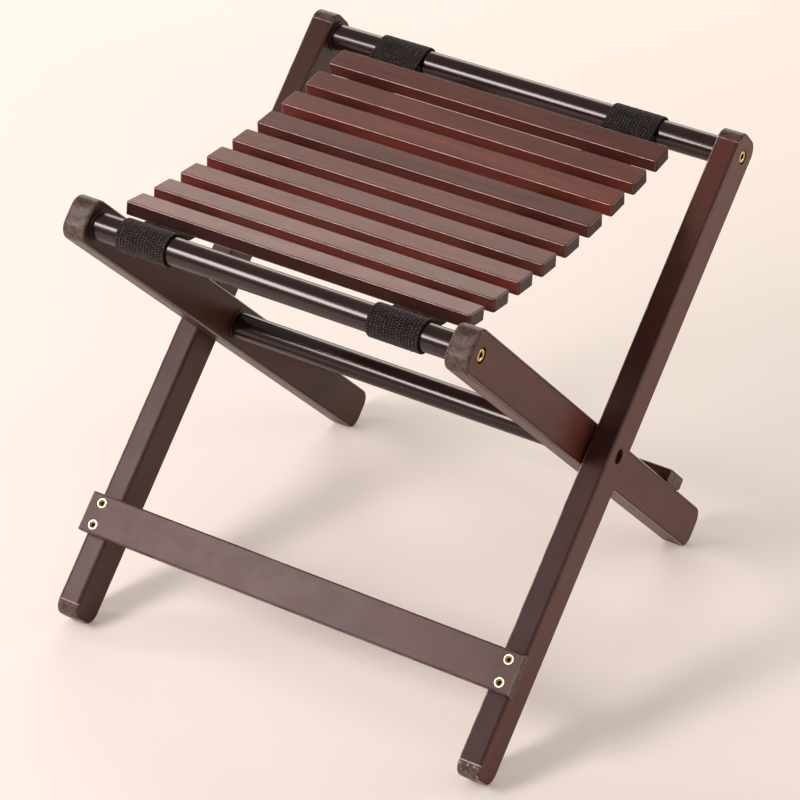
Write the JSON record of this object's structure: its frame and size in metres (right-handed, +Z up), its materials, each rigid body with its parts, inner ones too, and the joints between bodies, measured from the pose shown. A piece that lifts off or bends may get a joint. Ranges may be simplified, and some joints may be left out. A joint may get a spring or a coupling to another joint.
{
  "type": "folding camping stool",
  "caption": "Folding stool with crossed wooden legs, round cross tubes and a slatted seat hung on two webbing straps.",
  "frame": {"origin": "on the floor, midway between the two leg pivots", "axes": "+X across the stool to its right, +Y to its rear, +Z up"},
  "size_m": [0.406, 0.407, 0.4019],
  "materials": {
    "frame_wood": "dark brown stained wood with a satin lacquer and fine straight grain",
    "slat_wood": "greyish brown stained wood, satin, fine grain along the slat",
    "black_tube": "near-black gloss coating",
    "brass": "plated, bright",
    "bright_screw": "bright zinc with a faint yellow tint",
    "black_bolt": "blackened steel",
    "black_plastic": "moulded, satin",
    "webbing": "black woven webbing with coarse ribs along its length"
  },
  "bodies": {
    "outer_frame": {"outer_leg_left": "frame_wood", "outer_leg_right": "frame_wood", "rear_tube": "black_tube", "rear_tube_plugs": "black_plastic", "rear_tube_bolts": "brass", "front_crossbar": "frame_wood", "front_crossbar_screws": "bright_screw", "front_crossbar_inserts": "brass"},
    "inner_frame": {"inner_leg_left": "frame_wood", "inner_leg_right": "frame_wood", "front_tube": "black_tube", "front_tube_plugs": "black_plastic", "front_tube_bolts": "brass", "pivot_tube": "black_tube", "pivot_tube_plugs": "black_plastic", "pivot_bolts": "black_bolt", "pivot_washers": "black_plastic", "rear_crossbar": "frame_wood", "rear_crossbar_screws": "bright_screw", "rear_crossbar_inserts": "brass"},
    "rear_strap_ends": {"rear_loop_left": "webbing", "rear_loop_right": "webbing"},
    "front_strap_ends": {"front_loop_left": "webbing", "front_loop_right": "webbing"},
    "seat_1": {"slat_1": "slat_wood", "strap_left_1": "webbing", "strap_right_1": "webbing", "slat_screws_1": "bright_screw"},
    "seat_2": {"slat_2": "slat_wood", "strap_left_2": "webbing", "strap_right_2": "webbing", "slat_screws_2": "bright_screw"},
    "seat_3": {"slat_3": "slat_wood", "strap_left_3": "webbing", "strap_right_3": "webbing", "slat_screws_3": "bright_screw"},
    "seat_4": {"slat_4": "slat_wood", "strap_left_4": "webbing", "strap_right_4": "webbing", "slat_screws_4": "bright_screw"},
    "seat_5": {"slat_5": "slat_wood", "strap_left_5": "webbing", "strap_right_5": "webbing", "slat_screws_5": "bright_screw"},
    "seat_6": {"slat_6": "slat_wood", "strap_left_6": "webbing", "strap_right_6": "webbing", "slat_screws_6": "bright_screw"},
    "seat_7": {"slat_7": "slat_wood", "strap_left_7": "webbing", "strap_right_7": "webbing", "slat_screws_7": "bright_screw"},
    "seat_8": {"slat_8": "slat_wood", "strap_left_8": "webbing", "strap_right_8": "webbing", "slat_screws_8": "bright_screw"},
    "seat_9": {"slat_9": "slat_wood", "strap_left_9": "webbing", "strap_right_9": "webbing", "slat_screws_9": "bright_screw"}
  },
  "joints": [
    {"name": "fold", "type": "hinge", "parent": "outer_frame", "child": "inner_frame", "pos_m": [0, 0, 0.20094], "axis": [-1, 0, 0], "range_deg": [0, 84]},
    {"name": "rear_strap_turn", "type": "hinge", "parent": "outer_frame", "child": "rear_strap_ends", "pos_m": [0, 0.1837, 0.38209], "axis": [1, 0, 0], "range_deg": [0, 105.67]},
    {"name": "seat_bend_1", "type": "hinge", "parent": "rear_strap_ends", "child": "seat_1", "pos_m": [0, 0.15402, 0.38212], "axis": [1, 0, 0], "range_deg": [0, 4.12]},
    {"name": "seat_bend_2", "type": "hinge", "parent": "seat_1", "child": "seat_2", "pos_m": [0, 0.12129, 0.37787], "axis": [1, 0, 0], "range_deg": [0, 5.29]},
    {"name": "seat_bend_3", "type": "hinge", "parent": "seat_2", "child": "seat_3", "pos_m": [0, 0.08549, 0.37439], "axis": [1, 0, 0], "range_deg": [-18.06, 0]},
    {"name": "seat_bend_4", "type": "hinge", "parent": "seat_3", "child": "seat_4", "pos_m": [0, 0.0497, 0.37206], "axis": [1, 0, 0], "range_deg": [-58.72, 0]},
    {"name": "seat_bend_5", "type": "hinge", "parent": "seat_4", "child": "seat_5", "pos_m": [0, 0.0139, 0.3709], "axis": [1, 0, 0], "range_deg": [-58.46, 0]},
    {"name": "front_strap_turn", "type": "hinge", "parent": "inner_frame", "child": "front_strap_ends", "pos_m": [0, -0.1837, 0.38209], "axis": [1, 0, 0], "range_deg": [-16.3, 0]},
    {"name": "seat_bend_9", "type": "hinge", "parent": "front_strap_ends", "child": "seat_9", "pos_m": [0, -0.16202, 0.38212], "axis": [1, 0, 0], "range_deg": [0, 9.49]},
    {"name": "seat_bend_8", "type": "hinge", "parent": "seat_9", "child": "seat_8", "pos_m": [0, -0.12929, 0.37787], "axis": [1, 0, 0], "range_deg": [0, 3.02]},
    {"name": "seat_bend_7", "type": "hinge", "parent": "seat_8", "child": "seat_7", "pos_m": [0, -0.09349, 0.37439], "axis": [1, 0, 0], "range_deg": [0, 2.02]},
    {"name": "seat_bend_6", "type": "hinge", "parent": "seat_7", "child": "seat_6", "pos_m": [0, -0.0577, 0.37206], "axis": [1, 0, 0], "range_deg": [0, 31.92]}
  ],
  "couplings": [
    {"joint": "rear_strap_turn", "follows": "fold", "ratio": 1.258},
    {"joint": "seat_bend_1", "follows": "fold", "ratio": 0.049},
    {"joint": "seat_bend_2", "follows": "fold", "ratio": 0.063},
    {"joint": "seat_bend_3", "follows": "fold", "ratio": -0.215},
    {"joint": "seat_bend_4", "follows": "fold", "ratio": -0.699},
    {"joint": "seat_bend_5", "follows": "fold", "ratio": -0.696},
    {"joint": "front_strap_turn", "follows": "fold", "ratio": -0.194},
    {"joint": "seat_bend_9", "follows": "fold", "ratio": 0.113},
    {"joint": "seat_bend_8", "follows": "fold", "ratio": 0.036},
    {"joint": "seat_bend_7", "follows": "fold", "ratio": 0.024},
    {"joint": "seat_bend_6", "follows": "fold", "ratio": 0.38}
  ]
}
